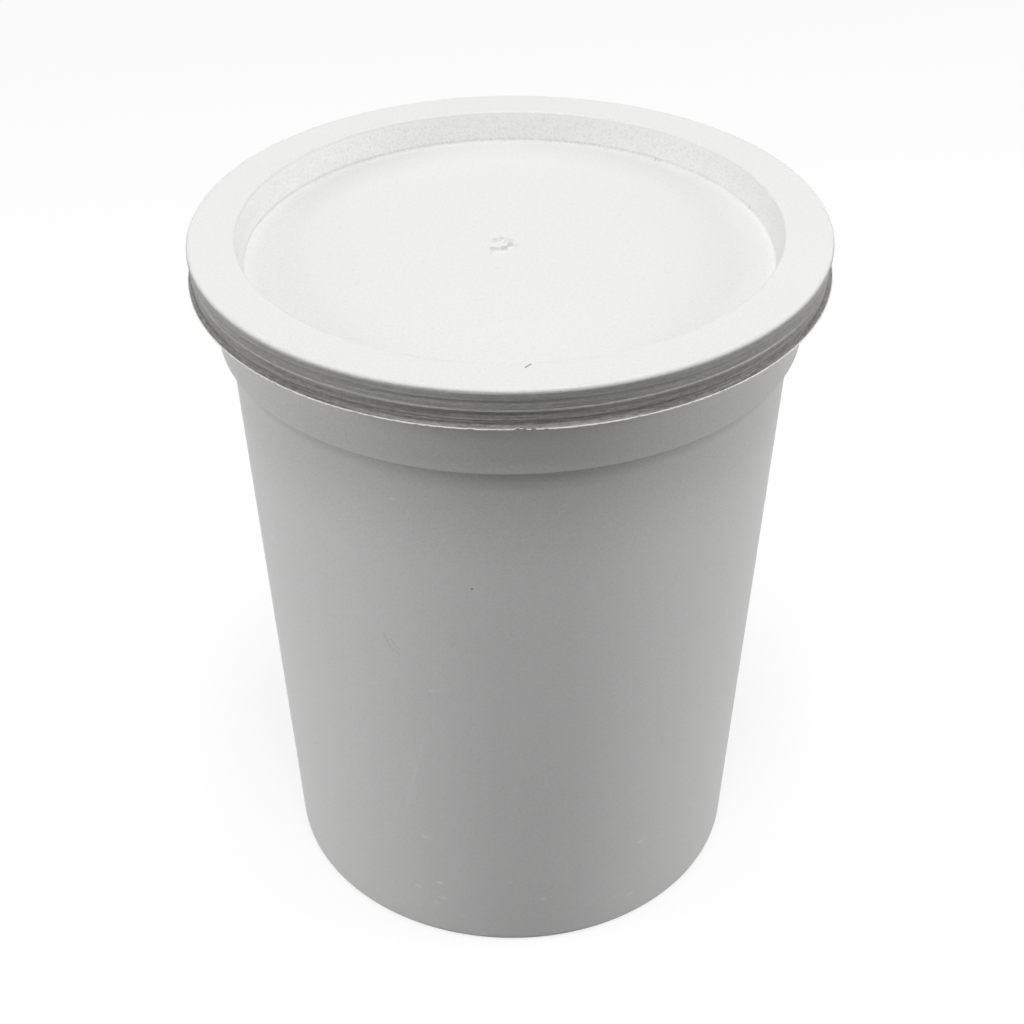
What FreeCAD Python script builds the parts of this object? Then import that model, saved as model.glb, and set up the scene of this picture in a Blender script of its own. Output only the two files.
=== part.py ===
import FreeCAD, Part
import math
import os

# Plastic tub for prepared food, shut with its press-on lid.
# +Z is up and the origin is the centre of the base. All sizes are in millimetres.

# Overall sizes
TUB_HEIGHT = 139.0           # table to the top of the tub's rim
WALL_TOP_RADIUS = 52.6       # outer wall where it meets the stacking collar
WALL_TAPER = 6.4             # how much the wall narrows from there to the table

# Tub: foot, stacking collar and rim
FOOT_ROUNDING = 1.6
COLLAR_LENGTH = 18.0         # rim top down to the collar's lower edge
COLLAR_STEP = 1.9            # how far the collar stands out from the wall
COLLAR_DRAFT = 0.9           # how much the collar widens up to the rim
COLLAR_UNDERSIDE = 0.8       # drop of the sloping underside of the collar
COLLAR_ROUNDING = 1.6        # hollow between the underside and the wall
COLLAR_EDGE = 0.3
RIM_WIDTH = 1.6              # how far the rim stands out from the collar
RIM_DEPTH = 3.6              # height of the rim
RIM_ROUNDING = 0.6

# Lid: one moulding, a recessed panel inside a flat border with a skirt
LID_WALL = 1.0
RECESS_DEPTH = 6.0
RECESS_DRAFT = 1.25          # how much the recess narrows from border to panel
RECESS_EDGE = 0.4
RECESS_ROUNDING = 0.8
BROW_OVERHANG = 0.85         # how far the top edge stands out past the waist
BROW_ROUNDING = 0.8
WAIST_DROP = 4.2             # lid top down to the narrowest part of the skirt
WAIST_ROUNDING = 3.0
SKIRT_BELOW_RIM = 2.7        # how far the skirt hangs below the tub's rim
FLARE = 0.65                 # how far the skirt widens from waist to lip
LIP_WIDTH = 0.5              # thin lip round the foot of the skirt
LIP_EDGE = 0.35
LIP_SLOPE = 0.15
SNAP_DEPTH = 0.4             # bead inside the skirt that holds under the rim
SNAP_RAMP = 0.5
SNAP_FLAT = 0.4
LEAD_IN = 0.7                # widening of the skirt's mouth below the snap bead
GATE_RADIUS = 2.0            # low pip left by the moulding gate on the panel
GATE_HEIGHT = 0.4
GATE_CHAMFER = 0.2
GATE_RIGHT = -1.4            # where the pip lies from the middle of the panel
GATE_BACK = 2.9

# Clearances
SNAP_CLEARANCE = 0.15        # rim to skirt and rim to snap bead
PLUG_CLEARANCE = 0.15        # recess wall to the filled tub round it
HEADSPACE = 0.5              # panel down to the filled tub
STACK_CLEARANCE = 2.7        # foot of another tub to the recess it stands in

# Radii and heights that follow from them
base_radius = WALL_TOP_RADIUS - WALL_TAPER
collar_foot_radius = WALL_TOP_RADIUS + COLLAR_STEP
collar_top_radius = collar_foot_radius + COLLAR_DRAFT
rim_radius = collar_top_radius + RIM_WIDTH
skirt_inner_radius = rim_radius + SNAP_CLEARANCE
waist_radius = skirt_inner_radius + LID_WALL
recess_floor_radius = base_radius + STACK_CLEARANCE
recess_edge_radius = recess_floor_radius + RECESS_DRAFT

lid_top = TUB_HEIGHT + LID_WALL
panel_top = lid_top - RECESS_DEPTH
panel_underside = panel_top - LID_WALL
rim_underside = TUB_HEIGHT - RIM_DEPTH
collar_foot = TUB_HEIGHT - COLLAR_LENGTH
lip_bottom = rim_underside - SKIRT_BELOW_RIM


def unit(start, end):
    """Direction from one outline point to the next."""
    step = end.sub(start)
    return step.multiply(1.0 / step.Length)


def outline(corners):
    """Closed wire in the XZ plane from (radius, height, rounding) corners.

    A rounding above zero turns its corner into an arc tangent to both sides.
    """
    count = len(corners)
    points = [FreeCAD.Vector(r, 0, z) for r, z, rounding in corners]
    entries = []
    for i, point in enumerate(points):
        rounding = corners[i][2]
        if rounding == 0:
            entries.append((point, None, point))
            continue
        back = unit(point, points[i - 1])
        ahead = unit(point, points[(i + 1) % count])
        half = back.getAngle(ahead) / 2
        reach = rounding / math.tan(half)
        start = point + back * reach
        end = point + ahead * reach
        inward = unit(FreeCAD.Vector(), back + ahead)
        middle = point + inward * (rounding / math.sin(half) - rounding)
        entries.append((start, middle, end))
    edges = []
    for i, (start, middle, end) in enumerate(entries):
        if middle is not None:
            edges.append(Part.Arc(start, middle, end).toShape())
        following = entries[(i + 1) % count][0]
        edges.append(Part.LineSegment(end, following).toShape())
    return Part.Wire(edges)


def turned(corners):
    """Solid of revolution about Z from an outline."""
    face = Part.Face(outline(corners))
    return face.revolve(FreeCAD.Vector(), FreeCAD.Vector(0, 0, 1), 360)


def make_tub():
    """Filled tub: tapered wall, stacking collar and rim, hollowed for the lid."""
    pocket_edge = recess_edge_radius + LID_WALL + PLUG_CLEARANCE
    pocket_foot = recess_floor_radius + LID_WALL + PLUG_CLEARANCE
    pocket_floor = panel_underside - HEADSPACE
    return turned([
        (0, 0, 0),
        (base_radius, 0, FOOT_ROUNDING),
        (WALL_TOP_RADIUS, collar_foot - COLLAR_UNDERSIDE, COLLAR_ROUNDING),
        (collar_foot_radius, collar_foot, COLLAR_EDGE),
        (collar_top_radius, rim_underside, 0),
        (rim_radius, rim_underside, RIM_ROUNDING),
        (rim_radius, TUB_HEIGHT, RIM_ROUNDING),
        (pocket_edge, TUB_HEIGHT, 0),
        (pocket_foot, pocket_floor, 0),
        (0, pocket_floor, 0),
    ])


def make_lid():
    """Lid shell: recessed panel, flat border, waisted skirt, lip and snap bead."""
    brow_radius = waist_radius + BROW_OVERHANG
    flare_radius = waist_radius + FLARE
    lip_radius = flare_radius + LIP_WIDTH
    lip_top = lip_bottom + LIP_EDGE
    snap_radius = skirt_inner_radius - SNAP_DEPTH
    snap_top = rim_underside - SNAP_CLEARANCE
    snap_crest = snap_top - SNAP_RAMP
    shell = turned([
        (0, panel_top, 0),
        (recess_floor_radius, panel_top, RECESS_ROUNDING),
        (recess_edge_radius, lid_top, RECESS_EDGE),
        (brow_radius, lid_top, BROW_ROUNDING),
        (waist_radius, lid_top - WAIST_DROP, WAIST_ROUNDING),
        (flare_radius, lip_top + LIP_SLOPE, 0),
        (lip_radius, lip_top, 0),
        (lip_radius, lip_bottom, 0),
        (snap_radius + LEAD_IN, lip_bottom, 0),
        (snap_radius, snap_crest - SNAP_FLAT, 0),
        (snap_radius, snap_crest, 0),
        (skirt_inner_radius, snap_top, 0),
        (skirt_inner_radius, TUB_HEIGHT, 0),
        (recess_edge_radius + LID_WALL, TUB_HEIGHT, 0),
        (recess_floor_radius + LID_WALL, panel_underside, 0),
        (0, panel_underside, 0),
    ])
    gate = turned([
        (0, panel_top - LID_WALL / 2, 0),
        (GATE_RADIUS, panel_top - LID_WALL / 2, 0),
        (GATE_RADIUS, panel_top + GATE_HEIGHT - GATE_CHAMFER, 0),
        (GATE_RADIUS - GATE_CHAMFER, panel_top + GATE_HEIGHT, 0),
        (0, panel_top + GATE_HEIGHT, 0),
    ])
    gate.translate(FreeCAD.Vector(GATE_RIGHT, GATE_BACK, 0))
    return shell.fuse(gate).removeSplitter()


os.makedirs("parts", exist_ok=True)
for name, make in (("tub", make_tub), ("lid", make_lid)):
    shape = make()
    solid = shape.Solids[0]
    box = solid.BoundBox
    print(name, shape.ShapeType, len(shape.Solids), "valid", shape.isValid(),
          "volume", round(solid.Volume / 1000, 2), "ml",
          "z", round(box.ZMin, 3), round(box.ZMax, 3), "width", round(box.XLength, 3))
    solid.exportStep(f"parts/{name}.step")
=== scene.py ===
import math

import bpy
from mathutils import Matrix, Vector, noise


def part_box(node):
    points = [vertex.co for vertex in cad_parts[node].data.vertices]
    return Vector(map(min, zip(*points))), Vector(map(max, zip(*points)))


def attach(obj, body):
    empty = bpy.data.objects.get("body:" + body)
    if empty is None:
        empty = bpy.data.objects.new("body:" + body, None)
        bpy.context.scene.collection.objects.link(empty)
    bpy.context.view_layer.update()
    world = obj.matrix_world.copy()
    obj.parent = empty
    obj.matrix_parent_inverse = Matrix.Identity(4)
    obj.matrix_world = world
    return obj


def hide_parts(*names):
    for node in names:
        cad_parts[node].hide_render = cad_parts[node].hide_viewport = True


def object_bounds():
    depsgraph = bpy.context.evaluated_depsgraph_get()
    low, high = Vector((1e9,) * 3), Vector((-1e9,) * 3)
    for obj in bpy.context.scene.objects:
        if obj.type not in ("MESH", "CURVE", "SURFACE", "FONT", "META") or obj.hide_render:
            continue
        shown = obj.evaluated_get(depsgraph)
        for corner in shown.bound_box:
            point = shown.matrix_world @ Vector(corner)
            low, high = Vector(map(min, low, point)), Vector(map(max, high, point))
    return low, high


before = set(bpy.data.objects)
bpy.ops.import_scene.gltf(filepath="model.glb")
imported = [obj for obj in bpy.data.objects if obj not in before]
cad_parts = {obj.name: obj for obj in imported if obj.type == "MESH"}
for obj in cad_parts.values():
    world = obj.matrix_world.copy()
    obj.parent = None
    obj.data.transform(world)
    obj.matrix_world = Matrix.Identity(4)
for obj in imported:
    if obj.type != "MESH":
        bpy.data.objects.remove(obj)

cad_low, cad_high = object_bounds()


# The tub. A tapered cup moulded in one shot of white polypropylene, full and shut,
# so it is one closed body. A collar near its mouth keeps nested tubs from jamming,
# and the rim above the collar is what the lid snaps over.

mm = 0.001
tub_low, tub_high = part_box("tub")
lid_low, lid_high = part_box("lid")

rim_top = tub_high.z
foot_radius = 46.2 * mm
foot_rounding = 1.6 * mm
wall_top_radius = 52.6 * mm
collar_foot = rim_top - 18.0 * mm
collar_foot_radius = wall_top_radius + 1.9 * mm
collar_underside = 0.8 * mm
collar_rounding = 1.6 * mm
collar_edge = 0.35 * mm
rim_radius = 57.0 * mm
rim_underside = rim_top - 3.6 * mm
rim_rounding = 0.6 * mm
collar_top_radius = rim_radius - 1.6 * mm

lid_top = lid_high.z
lid_wall = lid_top - rim_top
recess_edge_radius = 50.15 * mm
recess_floor_radius = 48.9 * mm
panel_top = lid_top - 6.0 * mm
panel_underside = panel_top - lid_wall
headspace = 0.5 * mm
plug_gap = 0.15 * mm


def at(turn, height, radius):
    """Point round the tub: turn is in degrees from the front, positive to the right."""
    angle = math.radians(turn)
    return Vector((radius * math.sin(angle), -radius * math.cos(angle), height))


def outline(corners, flatness=0.003 * mm, margin=0.15 * mm):
    """Points of an outline from (radius, height, rounding) corners.

    A rounding becomes an arc whose chords keep within a flatness. A straight run also
    gets a point near each larger arc, so that the arc's shading doesn't spread over it.
    """
    arcs = []
    for i, (radius, height, rounding) in enumerate(corners):
        corner = Vector((radius, height))
        if rounding == 0:
            arcs.append([corner])
            continue
        back = (Vector(corners[i - 1][:2]) - corner).normalized()
        ahead = (Vector(corners[i + 1][:2]) - corner).normalized()
        half = back.angle(ahead) / 2
        centre = corner + (back + ahead).normalized() * (rounding / math.sin(half))
        spoke = corner + back * (rounding / math.tan(half)) - centre
        sweep = math.pi - 2 * half
        if back.cross(ahead) > 0:
            sweep = -sweep
        steps = math.ceil(abs(sweep) / (2 * math.acos(1 - flatness / rounding)))
        arc = [centre + Matrix.Rotation(sweep * k / steps, 2) @ spoke for k in range(steps + 1)]
        if rounding > margin:
            arc.insert(0, arc[0] + back * margin)
            arc.append(arc[-1] + ahead * margin)
        arcs.append(arc)
    return [point for arc in arcs for point in arc]


class Wire:
    """A node's output that takes part in plain Python sums.

    A wire without a socket stands for the node tree, before it has any nodes.
    """

    def __init__(self, tree, socket=None):
        self.tree = tree
        self.socket = socket

    def node(self, kind, settings=None, sockets=None, output=0):
        """New node in the same tree: its settings, then the values or links it takes."""
        made = self.tree.nodes.new(kind)
        for name, value in (settings or {}).items():
            setattr(made, name, value)
        for key, value in (sockets or {}).items():
            if isinstance(value, Wire):
                self.tree.links.new(value.socket, made.inputs[key])
            else:
                made.inputs[key].default_value = value
        return Wire(self.tree, made.outputs[output] if made.outputs else None)

    def maths(self, operation, *values):
        return self.node("ShaderNodeMath", {"operation": operation}, dict(enumerate(values)))

    def __add__(self, other):
        return self.maths("ADD", self, other)

    def __sub__(self, other):
        return self.maths("SUBTRACT", self, other)

    def __rsub__(self, other):
        return self.maths("SUBTRACT", other, self)

    def __mul__(self, other):
        return self.maths("MULTIPLY", self, other)

    def __truediv__(self, other):
        return self.maths("DIVIDE", self, other)

    __radd__ = __add__
    __rmul__ = __mul__

    def ease(self, low, high):
        """Smooth step from 0 at low to 1 at high; high may be the lower one."""
        return self.node("ShaderNodeMapRange", {"interpolation_type": "SMOOTHSTEP"},
                         {"Value": self, "From Min": low, "From Max": high})


def lathe(name):
    """Geometry Nodes tree that turns an outline about Z, a little out of round."""
    group = bpy.data.node_groups.new(name, "GeometryNodeTree")
    for label, kind in (("Outline", "Geometry"), ("Segments", "Int"), ("Unevenness", "Float"),
                        ("Seed", "Float"), ("Plastic", "Material")):
        group.interface.new_socket(label, in_out="INPUT", socket_type="NodeSocket" + kind)
    group.interface.new_socket("Turned", in_out="OUTPUT", socket_type="NodeSocketGeometry")
    start = Wire(group)
    outline_given = start.node("NodeGroupInput", output="Outline")
    segments = start.node("NodeGroupInput", output="Segments")
    unevenness = start.node("NodeGroupInput", output="Unevenness")
    seed = start.node("NodeGroupInput", output="Seed")
    plastic = start.node("NodeGroupInput", output="Plastic")

    # One column of the grid is one copy of the outline.
    count = start.node("GeometryNodeAttributeDomainSize", {"component": "MESH"},
                       {"Geometry": outline_given})
    grid = start.node("GeometryNodeMeshGrid", None,
                      {"Vertices X": segments + 1, "Vertices Y": count})
    index = start.node("GeometryNodeInputIndex")
    column = index.maths("FLOOR", (index + 0.5) / count)
    place = start.node("GeometryNodeSampleIndex", {"data_type": "FLOAT_VECTOR"}, {
        "Geometry": outline_given, "Value": start.node("GeometryNodeInputPosition"),
        "Index": index - column * count})
    radius = place.node("ShaderNodeSeparateXYZ", None, {0: place}, output="X")
    height = place.node("ShaderNodeSeparateXYZ", None, {0: place}, output="Z")

    # The noise is read off a circle, so that it closes on itself behind the tub.
    turn = (column / segments) * (2 * math.pi)
    sine = turn.maths("SINE", turn)
    cosine = turn.maths("COSINE", turn)
    circle = start.node("ShaderNodeCombineXYZ", None, {0: sine, 1: cosine, 2: height * 18.0})
    wobble = start.node("ShaderNodeTexNoise", {"noise_dimensions": "4D"},
                        {"Vector": circle, "W": seed, "Scale": 1.1, "Detail": 1.0}) - 0.5
    share = radius.maths("MINIMUM", radius * 40.0, 1.0)
    radius = radius + wobble * unevenness * share
    moved = start.node("ShaderNodeCombineXYZ", None,
                       {0: radius * sine, 1: radius * cosine, 2: height})
    turned = start.node("GeometryNodeSetPosition", None, {"Geometry": grid, "Position": moved})
    closed = start.node("GeometryNodeMergeByDistance", None,
                        {"Geometry": turned, "Distance": 0.001 * mm})
    smooth = start.node("GeometryNodeSetShadeSmooth", None, {"Geometry": closed})
    real = start.node("GeometryNodeRealizeInstances", None, {"Geometry": smooth})
    done = start.node("GeometryNodeSetMaterial", None, {"Geometry": real, "Material": plastic})
    start.node("NodeGroupOutput", None, {"Turned": done})
    return group


def turned_piece(name, points, sizes):
    """Plain mesh object turned on its own lathe tree from the points of an outline."""
    profile = bpy.data.meshes.new(name + "_outline")
    edges = [(i, i + 1) for i in range(len(points) - 1)]
    profile.from_pydata([(p.x, 0, p.y) for p in points], edges, [])
    piece = bpy.data.objects.new(name, profile)
    bpy.context.scene.collection.objects.link(piece)
    modifier = piece.modifiers.new("lathe", "NODES")
    modifier.node_group = lathe(name + "_lathe")
    for item in modifier.node_group.interface.items_tree:
        if item.name in sizes:
            modifier[item.identifier] = sizes[item.name]
    depsgraph = bpy.context.evaluated_depsgraph_get()
    mesh = bpy.data.meshes.new_from_object(piece.evaluated_get(depsgraph), depsgraph=depsgraph)
    piece.modifiers.clear()
    piece.data = mesh
    bpy.data.meshes.remove(profile)
    mesh.name = name
    mesh.set_sharp_from_angle(angle=math.radians(40))
    return piece


def new_plastic(name):
    """Material with an empty tree, and the wire of its place in millimetres."""
    material = bpy.data.materials.new(name)
    material.use_nodes = True
    material.node_tree.nodes.clear()
    start = Wire(material.node_tree)
    metres = start.node("ShaderNodeTexCoord", output="Object")
    place = start.node("ShaderNodeVectorMath", {"operation": "SCALE"}, {0: metres, "Scale": 1000.0})
    return material, place


def grain(place, size, detail=1.0):
    """Even noise from about -1 to 1, with lumps of a size in millimetres."""
    lumps = place.node("ShaderNodeTexNoise", None,
                       {"Vector": place, "Scale": 1 / size, "Detail": detail})
    return (lumps - 0.5) * 4.0


def spot(place, point, size, flatness=1.0):
    """Soft spot round a point, as many times flatter than it is wide as its flatness says."""
    stretched = place.node("ShaderNodeVectorMath", {"operation": "MULTIPLY"},
                           {0: place, 1: (1, 1, flatness)})
    centre = (point.x / mm, point.y / mm, point.z / mm * flatness)
    reach = place.node("ShaderNodeVectorMath", {"operation": "DISTANCE"},
                       {0: stretched, 1: centre}, output="Value")
    return reach.ease(size / 2, size / 8)


def scratch(place, first, last, width):
    """Straight mark from one point to another, fading at its sides."""
    run = (last - first) / mm
    away = place.node("ShaderNodeVectorMath", {"operation": "SUBTRACT"},
                      {0: place, 1: tuple(first / mm)})
    along = place.node("ShaderNodeVectorMath", {"operation": "DOT_PRODUCT"},
                       {0: away, 1: tuple(run / run.length_squared)}, output="Value")
    along = along.maths("MINIMUM", along.maths("MAXIMUM", along, 0.0), 1.0)
    nearest = place.node("ShaderNodeVectorMath", {"operation": "SCALE"},
                         {0: tuple(run), "Scale": along})
    reach = place.node("ShaderNodeVectorMath", {"operation": "DISTANCE"},
                       {0: away, 1: nearest}, output="Value")
    return reach.ease(width / 2, 0.0)


def scattered(place, spacing, size, share):
    """Small spots strewn at random, in a share of cells of a spacing in millimetres."""
    reach = place.node("ShaderNodeTexVoronoi", None, {"Vector": place, "Scale": 1 / spacing},
                       output="Distance")
    colour = Wire(place.tree, reach.socket.node.outputs["Color"])
    luck = place.node("ShaderNodeSeparateColor", None, {0: colour}, output=0)
    return reach.ease(size / spacing, 0.3 * size / spacing) * luck.ease(share + 0.01, share)


def tinted(place, plain, tint, share):
    """Colour with a share, from 0 to 1, of a tint over a plainer colour."""
    return place.node("ShaderNodeMix", {"data_type": "RGBA"},
                      {"Factor": share, "A": plain, "B": tint}, output="Result")


def finish_plastic(place, colour, relief, roughness):
    """Shader of a satin plastic, whose relief is in millimetres."""
    normal = place.node("ShaderNodeBump", None, {"Height": relief, "Distance": mm})
    shader = place.node("ShaderNodeBsdfPrincipled", None, {
        "Base Color": colour, "Roughness": roughness, "Normal": normal,
        "IOR": 1.49, "Specular IOR Level": 0.2})
    place.node("ShaderNodeOutputMaterial", None, {"Surface": shader})


def on_wall(turn, height):
    """Point of the tapered wall at a turn in degrees and a height in millimetres."""
    share = height * mm / (collar_foot - collar_underside)
    return at(turn, height * mm, foot_radius + (wall_top_radius - foot_radius) * share)


tub_white = (0.86, 0.86, 0.855, 1)
# White for pale scuffs and for painted glints.
scuff_and_glint_white = (1, 1, 1, 1)
# One dark tint serves for dirt and for painted shade in all three plastics.
dirt_and_shade_colour = (0.16, 0.155, 0.145, 1)
tub_plastic, place = new_plastic("tub_plastic")
dirt_and_shade_share = grain(place, 26.0, 2.0) * 0.01 + grain(place, 0.4) * 0.06 + 0.02
relief = grain(place, 0.6) * 0.0015 + grain(place, 14.0) * 0.01

# Painted shade: the top of the tub is darker, as no food stands behind it to send light
# back through the plastic, and so are the step's shadow in the corner under the collar's
# step, the lid's shade on the collar at the left, and the foot's edge where it turns under.
up = place.node("ShaderNodeSeparateXYZ", None, {0: place}, output="Z")
step_foot = (collar_foot - collar_underside) / mm
painted_top_shade = up.ease(step_foot - 26.0, step_foot - 4.0)
painted_step_shadow = up.ease(step_foot - 3.6, step_foot - 0.4) * up.ease(step_foot + 0.6, step_foot)
painted_collar_shade = spot(place, at(-14.0, lid_low.z, rim_radius - 1.0 * mm), 44.0, 3.0)
painted_foot_shade = up.ease(1.4, 0.5)
dirt_and_shade_share = dirt_and_shade_share + painted_top_shade * 0.09 + painted_step_shadow * 0.26 + painted_collar_shade * 0.13 + painted_foot_shade * 0.4

# Dark flecks in the plastic, and knocks and scuffs painted paler than the wall, partly
# their own pale marks and partly painted glints where their dents catch the light, most
# of them in a loose band above the foot.
dirt_and_shade_share = dirt_and_shade_share + spot(place, on_wall(-7.5, 94.4), 0.75) * 0.6
dirt_and_shade_share = dirt_and_shade_share + scattered(place, 34.0, 0.22, 0.3) * 0.4
wall_knock_glints = (
    # turn in degrees, height and size in millimetres, and how pale it is painted
    (-21.9, 103.0, 0.6, 1.0), (2.3, 99.9, 0.5, 0.4), (0.2, 42.2, 0.6, 1.0),
    (-14.2, 86.4, 0.5, 0.6), (-9.6, 78.6, 0.5, 0.6), (-22.7, 111.8, 1.6, 0.5),
    (-17.1, 68.4, 1.5, 0.5), (-20.9, 28.0, 2.0, 0.9), (-17.8, 15.4, 2.4, 1.0),
    (-23.8, 12.5, 2.2, 0.5), (-17.0, 11.0, 3.0, 0.45), (-19.0, 9.0, 2.4, 0.3),
    (-0.1, 17.9, 1.4, 0.6), (7.8, 12.6, 1.9, 0.6), (5.4, 12.6, 1.4, 0.3),
    (33.1, 21.8, 2.2, 0.6), (53.1, 20.8, 2.0, 0.5), (31.5, 7.0, 2.4, 0.8),
    (27.0, 8.0, 2.4, 0.3), (-7.0, 1.8, 2.0, 0.5), (-12.5, 6.5, 2.6, 0.3))
knock_flatness = 1.8
scuffs_and_glints = scattered(place, 17.0, 1.2, 0.35) * 0.35
for turn, height, size, paleness in wall_knock_glints:
    scuffs_and_glints = scuffs_and_glints + spot(place, on_wall(turn, height), size, knock_flatness) * paleness

# One long pale scratch, and a smudge of short dark ones: the turn and height where each
# starts, how far it turns and drops, and its width.
scuffs_and_glints = scuffs_and_glints + scratch(place, on_wall(-18.9, 56.9), on_wall(-26.8, 30.2), 1.1) * 0.18
smudge_lines = ((-27.2, 79.6, 1.9, 3.6, 0.7), (-25.9, 79.0, 2.3, 2.2, 0.6),
                (-25.0, 77.0, 1.2, 1.6, 0.5))
for turn, height, sweep, drop, width in smudge_lines:
    end = on_wall(turn + sweep, height - drop)
    dirt_and_shade_share = dirt_and_shade_share + scratch(place, on_wall(turn, height), end, width) * 0.13
roughness = grain(place, 4.0, 3.0) * 0.04 + 0.5
colour = tinted(place, tinted(place, tub_white, dirt_and_shade_colour, dirt_and_shade_share), scuff_and_glint_white, scuffs_and_glints)
finish_plastic(place, colour, relief, roughness)

tub_outline = outline([
    (0, panel_underside - headspace, 0),
    (recess_floor_radius + lid_wall + plug_gap, panel_underside - headspace, 0),
    (recess_edge_radius + lid_wall + plug_gap, rim_top, 0),
    (rim_radius, rim_top, rim_rounding),
    (rim_radius, rim_underside, rim_rounding),
    (collar_top_radius, rim_underside, 0),
    (collar_foot_radius, collar_foot, collar_edge),
    (wall_top_radius, collar_foot - collar_underside, collar_rounding),
    (foot_radius, tub_low.z, foot_rounding),
    (0, tub_low.z, 0),
])
cup = turned_piece("cup", tub_outline, {
    "Segments": 480, "Unevenness": 0.1 * mm, "Seed": 3.0, "Plastic": tub_plastic})
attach(cup, "root")
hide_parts("tub")


# The lid. One thin moulding of softer white polyethylene: a flat panel sunk inside
# a flat border, and a skirt that snaps under the tub's rim. The skirt is drawn in
# between fine ridges, and a thin lip of flash, unevenly trimmed, runs round its foot.

lip_radius = min(lid_high.x, lid_high.y, -lid_low.x, -lid_low.y)
lip_bottom = lid_low.z
lip_top = lip_bottom + 0.22 * mm
flare_radius = lip_radius - 0.45 * mm
brow_radius = lip_radius - 0.3 * mm
waist_radius = brow_radius - 0.35 * mm
skirt_inner_radius = rim_radius + 0.15 * mm
snap_radius = skirt_inner_radius - 0.4 * mm
snap_top = rim_underside - 0.15 * mm


def skirt(drop, step_out):
    """Corner of the skirt, from its drop below the lid's top and its step out of the waist."""
    return (waist_radius + step_out * mm, lid_top - drop * mm, 0)


lid_outline = outline([
    (0, panel_top, 0),
    (recess_floor_radius, panel_top, 0.7 * mm),
    (recess_edge_radius, lid_top, 0.4 * mm),
    (brow_radius, lid_top, 0.8 * mm),
    skirt(1.2, 0.3), skirt(1.8, 0.1), skirt(1.95, 0.14), skirt(2.05, 0.12), skirt(2.15, 0.0),
    skirt(2.35, -0.06), skirt(2.75, 0.0), skirt(3.8, -0.08), skirt(3.98, 0.055), skirt(4.13, 0.08),
    skirt(4.23, -0.05), skirt(4.43, -0.28), skirt(5.6, -0.3), skirt(5.78, -0.19),
    skirt(5.88, -0.19), skirt(6.0, -0.3), skirt(6.7, -0.24), skirt(7.02, 0.15),
    (lip_radius - 0.2 * mm, lip_top, 0),
    (lip_radius, lip_bottom + 0.07 * mm, 0.05 * mm),
    (lip_radius, lip_bottom, 0),
    (snap_radius + 0.7 * mm, lip_bottom, 0),
    (snap_radius, snap_top - 0.9 * mm, 0),
    (snap_radius, snap_top - 0.5 * mm, 0),
    (skirt_inner_radius, snap_top, 0),
    (skirt_inner_radius, rim_top, 0),
    (recess_edge_radius + lid_wall, rim_top, 0),
    (recess_floor_radius + lid_wall, panel_underside, 0),
    (0, panel_underside, 0),
])

lid_white = (0.885, 0.885, 0.88, 1)
lid_plastic, place = new_plastic("lid_plastic")
to_right = place.node("ShaderNodeSeparateXYZ", None, {0: place}, output="X")
to_back = place.node("ShaderNodeSeparateXYZ", None, {0: place}, output="Y")
rise = place.node("ShaderNodeSeparateXYZ", None, {0: place}, output="Z") - lid_top / mm
level_place = place.node("ShaderNodeVectorMath", {"operation": "MULTIPLY"}, {0: place, 1: (1, 1, 0)})
radius = place.node("ShaderNodeVectorMath", {"operation": "LENGTH"}, {0: level_place}, output="Value")
floor_rise = (panel_top - lid_top) / mm
recess_edge = recess_edge_radius / mm
recess_floor = recess_floor_radius / mm
in_recess = radius.ease(recess_edge + 0.3, recess_edge + 0.1)
on_recess_wall = in_recess * rise.ease(floor_rise + 0.1, floor_rise + 0.5) * rise.ease(-0.4, -1.2)
on_skirt = radius.ease(waist_radius / mm - 1.0, waist_radius / mm - 0.6)
on_skirt = on_skirt * radius.ease(lip_radius / mm - 0.16, lip_radius / mm - 0.24)

# Outside the recess the lid is a little darker, more so towards the front.
dirt_and_shade_share = grain(place, 22.0, 2.0) * 0.004 + grain(place, 0.5) * 0.04 + 0.014
dirt_and_shade_share = dirt_and_shade_share + (1 - in_recess) * (to_back.ease(-15.0, -50.0) * 0.03 + 0.01)
relief = grain(place, 0.7) * 0.0012 + grain(place, 18.0) * 0.012

# The recess's wall is spark-eroded, so it is grainy, least of all at the left, and painted
# shade darkens it towards the left. Dust stays in its corner, and painted shade darkens
# its upper edge, most of all at the left.
pits = grain(place, 0.42, 2.0) * (to_right.ease(-48.0, -15.0) * 0.5 + 0.5)
dirt_and_shade_share = dirt_and_shade_share + on_recess_wall * (pits * 0.14 + to_right.ease(30.0, -38.0) * 0.04)
relief = relief + on_recess_wall * pits * 0.01
floor_corner = rise.ease(floor_rise + 0.9, floor_rise + 0.1) * rise.ease(floor_rise - 0.1, floor_rise + 0.1)
dust = grain(place, 0.9, 2.0).ease(0.1, 1.2)
dirt_and_shade_share = dirt_and_shade_share + in_recess * floor_corner * dust * 0.12
upper_edge_shade = rise.ease(-0.7, -0.1) * (to_right.ease(10.0, -35.0) * 0.1 + 0.08)
dirt_and_shade_share = dirt_and_shade_share + in_recess * upper_edge_shade

# Painted shade darkens the panel towards its edge, most of all at the left and the back.
on_panel = in_recess * rise.ease(floor_rise + 0.9, floor_rise + 0.5)
left_and_back_shade = to_right.ease(0.0, -45.0) * 0.07 + to_back.ease(0.0, 45.0) * 0.09 + 0.02
panel_edge_shade = radius.ease(recess_floor - 5.0, recess_floor - 1.0) * 0.07
panel_edge_shade = panel_edge_shade + radius.ease(recess_floor - 11.0, recess_floor - 2.0) * left_and_back_shade
dirt_and_shade_share = dirt_and_shade_share + panel_edge_shade * on_panel

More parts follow.
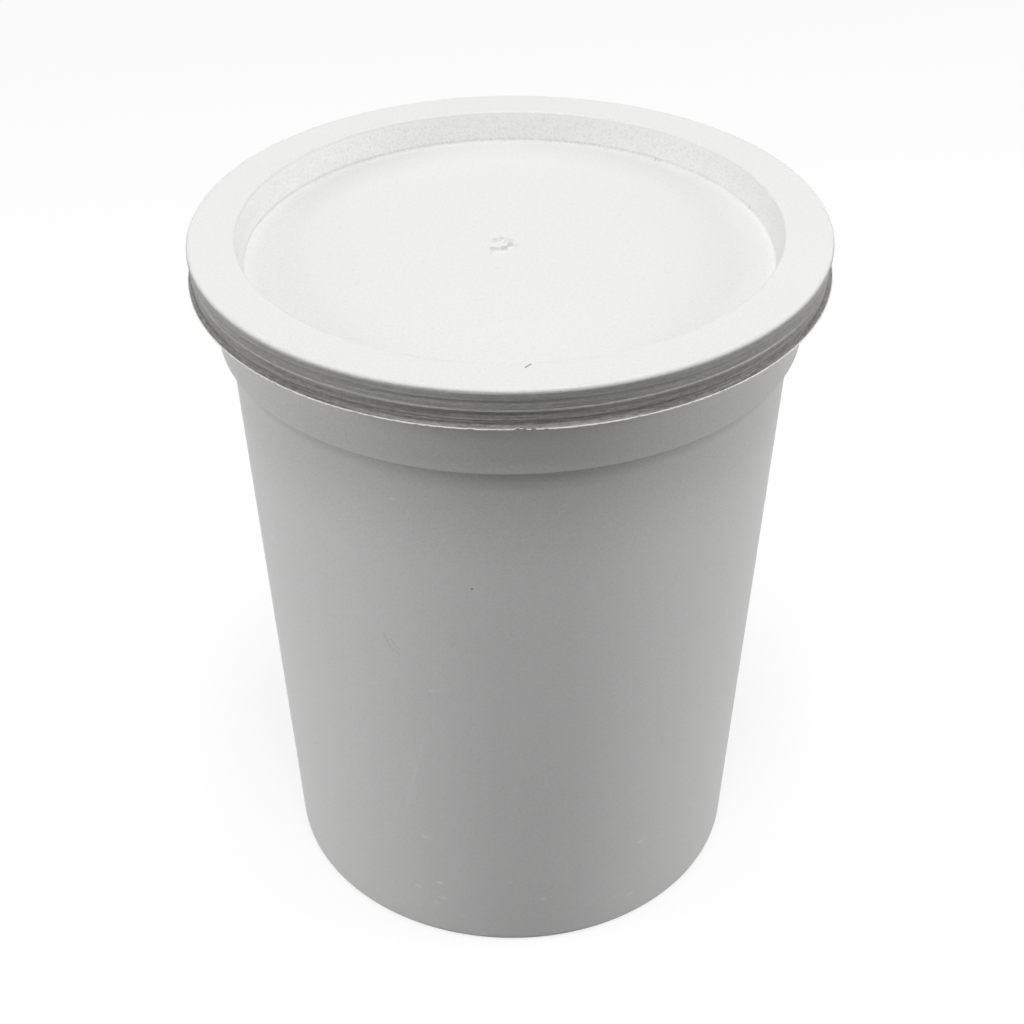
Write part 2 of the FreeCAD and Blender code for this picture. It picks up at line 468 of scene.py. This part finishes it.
# The tool left fine streaks round the skirt. Painted shade darkens the skirt under its
# brow and in its grooves, more of it lower down, and the streaks and scuffs vary it.
drawn_out = place.node("ShaderNodeVectorMath", {"operation": "MULTIPLY"}, {0: place, 1: (0.06, 0.06, 3.5)})
streaks = grain(drawn_out, 1.0, 3.0)
squat = place.node("ShaderNodeVectorMath", {"operation": "MULTIPLY"}, {0: place, 1: (0.7, 0.7, 4.0)})
scuffs = grain(squat, 1.0, 2.0)
skirt_shade = rise.ease(0.05, -0.8) * 0.55 + rise.ease(-2.0, -2.6) * 0.07
skirt_shade = skirt_shade + rise.ease(-4.4, -5.3) * 0.1 + rise.ease(-5.9, -6.6) * 0.1
dirt_and_shade_share = dirt_and_shade_share + on_skirt * skirt_shade * (streaks * 0.22 + scuffs * 0.14 + 1)
relief = relief + on_skirt * streaks * 0.012

# A dark fleck with a smaller one on the border's inner edge, and nicks in the recess's
# wall: (turn, height over the panel, size, how dark).
fleck_from = at(2.9, lid_top, 51.8 * mm)
fleck_to = at(3.9, lid_top, 50.9 * mm)
dirt_and_shade_share = dirt_and_shade_share + scratch(place, fleck_from, fleck_to, 0.6) * 0.8
dirt_and_shade_share = dirt_and_shade_share + spot(place, at(-0.6, lid_top, 50.2 * mm), 0.5) * 0.4
nicks = ((142.7, 0.25, 0.9, 0.25), (109.7, 0.5, 1.0, 0.25), (-80.0, 4.2, 1.0, 0.6),
         (-81.5, 4.6, 0.8, 0.5))
for turn, height, size, darkness in nicks:
    slope = (recess_edge_radius - recess_floor_radius) / (lid_top - panel_top)
    nick_radius = recess_floor_radius + slope * height * mm
    nick = spot(place, at(turn, panel_top + height * mm, nick_radius), size)
    dirt_and_shade_share = dirt_and_shade_share + nick * darkness

# Faint short scratches across the border, from an inner to an outer radius.
for turn, inner, outer in ((47.0, 50.2, 51.3), (50.5, 48.6, 50.6), (57.6, 49.9, 51.9)):
    start_point = at(turn, lid_top, inner * mm)
    end_point = at(turn + 3.0, lid_top, outer * mm)
    dirt_and_shade_share = dirt_and_shade_share + scratch(place, start_point, end_point, 0.3) * 0.05
dirt_and_shade_share = dirt_and_shade_share + scattered(place, 29.0, 0.25, 0.2) * 0.3
roughness = grain(place, 3.0, 3.0) * 0.04 + 0.5
finish_plastic(place, tinted(place, lid_white, dirt_and_shade_colour, dirt_and_shade_share), relief, roughness)

cover = turned_piece("cover", lid_outline, {
    "Segments": 1280, "Unevenness": 0.05 * mm, "Seed": 7.0, "Plastic": lid_plastic})

# The lip is trimmed unevenly: fine and coarse noise round it, and its larger flaws as
# (turn, half width in degrees, cut back, lift), the last two in millimetres.
fine_waves = 100
coarse_waves = 9
deepest_cut = 0.45
lowest_lift = -0.03
lip_flaws = ((-41.4, 0.25, 0.1, 0.25), (-36.1, 0.3, -0.1, -0.2), (-24.0, 1.2, 0.03, 0.0),
             (-6.2, 0.35, 0.0, 0.18), (-2.0, 3.0, 0.08, 0.02), (1.3, 0.5, 0.0, 0.45),
             (2.4, 0.25, 0.25, 0.1), (3.7, 0.35, 0.25, 0.1), (10.9, 0.15, 0.1, 0.05),
             (64.0, 0.5, 0.25, 0.1), (118.0, 0.8, 0.3, 0.2), (171.0, 0.4, 0.3, 0.3),
             (-97.0, 0.6, 0.35, 0.1), (-140.0, 1.5, 0.2, 0.1))
for vertex in cover.data.vertices:
    spread = math.hypot(vertex.co.x, vertex.co.y)
    if spread < flare_radius + 0.1 * mm or vertex.co.z > lip_top + 0.06 * mm:
        continue
    turn = math.degrees(math.atan2(vertex.co.x, -vertex.co.y))
    ring = Vector((math.sin(math.radians(turn)), -math.cos(math.radians(turn)), 0))
    fine = noise.noise(ring * fine_waves)
    coarse = noise.noise(ring * coarse_waves)
    cut = 0.04 + 0.2 * max(fine, 0) + 0.06 * coarse
    lift = 0.15 * fine + 0.05 * coarse
    for where, half_width, deeper, higher in lip_flaws:
        bell = math.exp(-((turn - where) / half_width) ** 2)
        cut += bell * deeper
        lift += bell * higher
    tilt = (spread - flare_radius) / (lip_radius - flare_radius)
    kept = (spread - min(max(cut, 0), deepest_cut) * mm * tilt) / spread
    vertex.co.x *= kept
    vertex.co.y *= kept
    # The underside stays at or over the lid's own lowest level.
    at_underside = vertex.co.z < lip_bottom + 0.03 * mm
    vertex.co.z += max(lift, 0 if at_underside else lowest_lift) * mm * tilt

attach(cover, "root")
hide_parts("lid")


# The gate mark. Where the plastic entered the mould a torn nub stands on the panel,
# a few blobs run together, with a short tail pulled out to the right.

gate_centre = Vector((-1.4, 2.9, 0)) * mm + Vector((0, 0, panel_top))
gate_blobs = (
    # right, back, half width, half depth, height in millimetres, and how grey its painted shade is
    (-1.42, -2.2, 0.95, 1.3, 0.34, 0.28), (-0.4, -2.2, 0.8, 1.0, 0.26, 0.2),
    (0.52, -2.0, 1.1, 1.35, 0.36, 0.32), (1.73, -0.5, 0.85, 1.3, 0.36, 0.3),
    (2.85, -0.75, 0.85, 0.6, 0.16, 0.16), (1.4, 1.2, 1.15, 1.1, 0.22, 0.14),
    (-1.07, 1.45, 0.9, 1.4, 0.22, 0.17), (-0.97, 1.6, 0.3, 0.55, 0.24, 0.26),
    (-0.22, 1.25, 0.35, 0.5, 0.24, 0.26), (0.19, 2.1, 0.6, 0.8, 0.22, 0.19),
    (0.1, 0.2, 1.2, 0.9, 0.12, 0.0))


def gate_height(right, back):
    """Height of the torn nub over the panel, in millimetres, and a little under it outside."""
    total = 0.0
    for x, y, half_width, half_depth, height, _ in gate_blobs:
        reach = math.hypot((right - x) / half_width, (back - y) / half_depth)
        total = max(total, height * (1 - min(reach, 1) ** 3))
    if total > 0.02:
        total += 0.05 * noise.noise(Vector((right * 2.2, back * 2.2, 4.0)))
    return max(total, -0.05)


gate_shaded_plastic, place = new_plastic("gate_shaded_plastic")
from_gate = place.node("ShaderNodeVectorMath", {"operation": "SUBTRACT"},
                       {0: place, 1: tuple(gate_centre / mm)})
# The blobs are painted grey, as painted shade on the nub's faces, mottled a little.
dirt_and_shade_share = 0.0
for x, y, half_width, half_depth, height, shade_grey in gate_blobs:
    away = place.node("ShaderNodeVectorMath", {"operation": "SUBTRACT"}, {0: from_gate, 1: (x, y, 0)})
    away = place.node("ShaderNodeVectorMath", {"operation": "MULTIPLY"},
                      {0: away, 1: (1 / half_width, 1 / half_depth, 0)})
    reach = place.node("ShaderNodeVectorMath", {"operation": "LENGTH"}, {0: away}, output="Value")
    dirt_and_shade_share = place.maths("MAXIMUM", dirt_and_shade_share, reach.ease(1.05, 0.45) * shade_grey)
dirt_and_shade_share = dirt_and_shade_share * (grain(place, 0.5, 2.0) * 0.35 + 1) + 0.014
relief = grain(place, 0.5) * 0.004
roughness = grain(place, 3.0, 3.0) * 0.04 + 0.5
finish_plastic(place, tinted(place, lid_white, dirt_and_shade_colour, dirt_and_shade_share), relief, roughness)

# A fine grid makes its top and another its sole, sunk into the panel, and a wall of
# faces round the grids' rim closes them.
cells_across = 120
cells_deep = 100
cell = 0.07
sole = -0.3
top_sink = 0.02
gate_points = []
for is_top in (False, True):
    for j in range(cells_deep + 1):
        for i in range(cells_across + 1):
            right = (i - cells_across / 2) * cell
            back = (j - cells_deep / 2) * cell
            height = gate_height(right, back) - top_sink if is_top else sole
            gate_points.append(gate_centre + Vector((right, back, height)) * mm)
gate_faces = []
row = cells_across + 1
sheet = row * (cells_deep + 1)
for j in range(cells_deep):
    for i in range(cells_across):
        corner = j * row + i
        gate_faces.append((corner, corner + row, corner + row + 1, corner + 1))
        gate_faces.append((sheet + corner, sheet + corner + 1, sheet + corner + row + 1,
                           sheet + corner + row))
rim_walk = list(range(cells_across))
rim_walk += [cells_across + j * row for j in range(cells_deep)]
rim_walk += [cells_deep * row + cells_across - i for i in range(cells_across)]
rim_walk += [(cells_deep - j) * row for j in range(cells_deep)]
for here, following in zip(rim_walk, rim_walk[1:] + rim_walk[:1]):
    gate_faces.append((here, following, sheet + following, sheet + here))
gate_mesh = bpy.data.meshes.new("gate_mark")
gate_mesh.from_pydata(gate_points, [], gate_faces)
gate_mesh.polygons.foreach_set("use_smooth", [True] * len(gate_mesh.polygons))
gate_mesh.materials.append(gate_shaded_plastic)
gate_mark = bpy.data.objects.new("gate_mark", gate_mesh)
bpy.context.scene.collection.objects.link(gate_mark)
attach(gate_mark, "root")


# The stage: a plain pale floor that stays white to the eye and keeps the tub's
# shadow, soft lamps overhead and at both sides, and the camera.

floor_mesh = bpy.data.meshes.new("floor")
half_floor = 3.0
ground = cad_low.z
floor_mesh.from_pydata([(-half_floor, -half_floor, ground), (half_floor, -half_floor, ground),
                        (half_floor, half_floor, ground), (-half_floor, half_floor, ground)],
                       [], [(0, 1, 2, 3)])
floor = bpy.data.objects.new("floor", floor_mesh)
bpy.context.scene.collection.objects.link(floor)


def seen_directly(start):
    """1 for rays from the camera, off a gloss or through glass, and 0 for light."""
    camera_ray = start.node("ShaderNodeLightPath", output="Is Camera Ray")
    glossy_ray = start.node("ShaderNodeLightPath", output="Is Glossy Ray")
    clear_ray = start.node("ShaderNodeLightPath", output="Is Transmission Ray")
    return start.maths("MAXIMUM", camera_ray, start.maths("MAXIMUM", glossy_ray, clear_ray))


floor_paint = bpy.data.materials.new("floor_paint")
floor_paint.use_nodes = True
floor_paint.node_tree.nodes.clear()
start = Wire(floor_paint.node_tree)
floor_place = start.node("ShaderNodeTexCoord", output="Object")
outwards = start.node("ShaderNodeVectorMath", {"operation": "LENGTH"}, {0: floor_place}, output="Value")
glow_near = 0.8
glow = seen_directly(start) * (outwards.ease(0.4, 1.6) * (1 - glow_near) + glow_near)
matt = start.node("ShaderNodeBsdfDiffuse", None, {"Color": (0.25, 0.25, 0.25, 1)})
glowing = start.node("ShaderNodeEmission", None, {"Color": (1, 1, 1, 1), "Strength": glow})
both = start.node("ShaderNodeAddShader", None, {0: matt, 1: glowing})
start.node("ShaderNodeOutputMaterial", None, {"Surface": both})
floor_mesh.materials.append(floor_paint)

world = bpy.data.worlds.new("studio")
bpy.context.scene.world = world
world.use_nodes = True
world.node_tree.nodes.clear()
start = Wire(world.node_tree)
ambient = 0.07
sky = start.node("ShaderNodeBackground", None, {
    "Color": (1, 1, 1, 1), "Strength": seen_directly(start) * (1 - ambient) + ambient})
start.node("ShaderNodeOutputWorld", None, {"Surface": sky})


def softbox(name, place, aim, width, depth, power):
    """Rectangular lamp at a place, pointed at a place."""
    lamp = bpy.data.lights.new(name, "AREA")
    lamp.shape = "RECTANGLE"
    lamp.size = width
    lamp.size_y = depth
    lamp.energy = power
    holder = bpy.data.objects.new(name, lamp)
    holder.location = place
    holder.rotation_mode = "QUATERNION"
    holder.rotation_quaternion = (Vector(aim) - Vector(place)).to_track_quat("-Z", "Y")
    bpy.context.scene.collection.objects.link(holder)
    return holder


middle = (0, 0, 0.08)
softbox("overhead", (0, 0, 1.3), middle, 0.35, 0.35, 4.75)
softbox("overhead_front", (0, -0.42, 1.2), middle, 0.3, 0.3, 5.35)
softbox("left", (-1.05, -0.3, 0.45), middle, 0.5, 0.5, 4.1)
softbox("left_low", (-1.1, -0.1, 0.07), middle, 0.6, 0.1, 1.0)
softbox("right", (1.1, 0, 0.45), middle, 0.6, 0.6, 3.7)
softbox("right_front", (1.05, -0.3, 0.45), middle, 0.5, 0.5, 1.8)

camera_data = bpy.data.cameras.new("camera")
camera_data.sensor_width = 36
camera_data.lens = 67.2
camera_data.shift_x = 0.0508
camera_data.shift_y = -0.0215
camera_data.clip_start = 0.01
camera_data.clip_end = 20
camera = bpy.data.objects.new("camera", camera_data)
bpy.context.scene.collection.objects.link(camera)
bpy.context.scene.camera = camera
pitch = math.radians(34.54)
swing = math.radians(-1.81)
roll = math.radians(-1.264)
ahead = Vector((math.sin(swing) * math.cos(pitch), math.cos(swing) * math.cos(pitch), -math.sin(pitch)))
level = Vector((math.cos(swing), -math.sin(swing), 0))
upright = level.cross(ahead)
rightward = level * math.cos(roll) + upright * math.sin(roll)
upward = upright * math.cos(roll) - level * math.sin(roll)
camera.matrix_world = Matrix.Translation((0, -0.3165, 0.2984)) @ Matrix(
    (rightward, upward, -ahead)).transposed().to_4x4()

scene = bpy.context.scene
scene.view_settings.view_transform = "Standard"
